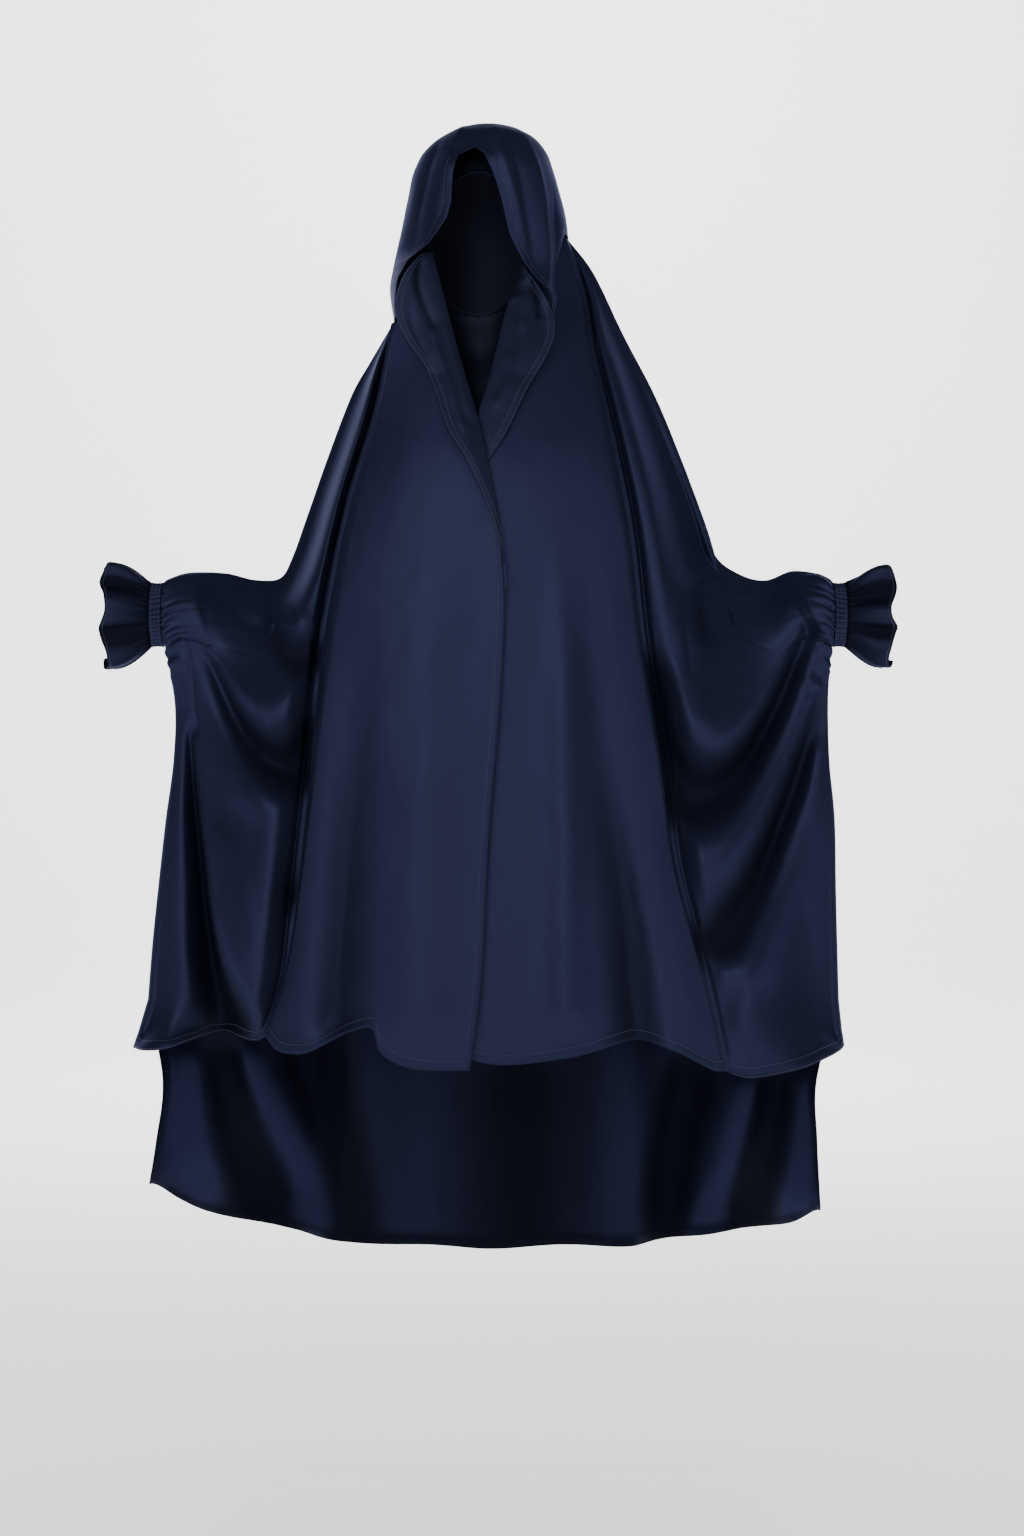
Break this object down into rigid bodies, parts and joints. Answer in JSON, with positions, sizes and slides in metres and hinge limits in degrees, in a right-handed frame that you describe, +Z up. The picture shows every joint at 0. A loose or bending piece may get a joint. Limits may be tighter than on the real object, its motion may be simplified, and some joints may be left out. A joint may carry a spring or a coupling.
{
  "type": "jilbab top",
  "caption": "Hooded over-garment top as worn, with lapped front drape, batwing sleeves, ruffled elastic wrists and a longer back, for covering head and body to the thigh.",
  "frame": {"origin": "crown of the wearer's head, inside the top of the hood and cap", "axes": "+Z up, -Y towards the front (the face opening), +X towards the wearer's left arm; metres"},
  "size_m": [0.9676, 0.4489, 1.4259],
  "materials": {
    "navy_satin": "soft satin sheen",
    "dark_jersey": "matt stretch jersey"
  },
  "bodies": {
    "root": {"back_panel": "navy_satin", "hood": "navy_satin", "left_casing": "navy_satin", "left_front_panel": "navy_satin", "left_lapel": "navy_satin", "left_ruffle": "navy_satin", "left_wing": "navy_satin", "right_casing": "navy_satin", "right_front_panel": "navy_satin", "right_lapel": "navy_satin", "right_ruffle": "navy_satin", "right_wing": "navy_satin", "inner_cap": "dark_jersey"}
  },
  "joints": []
}
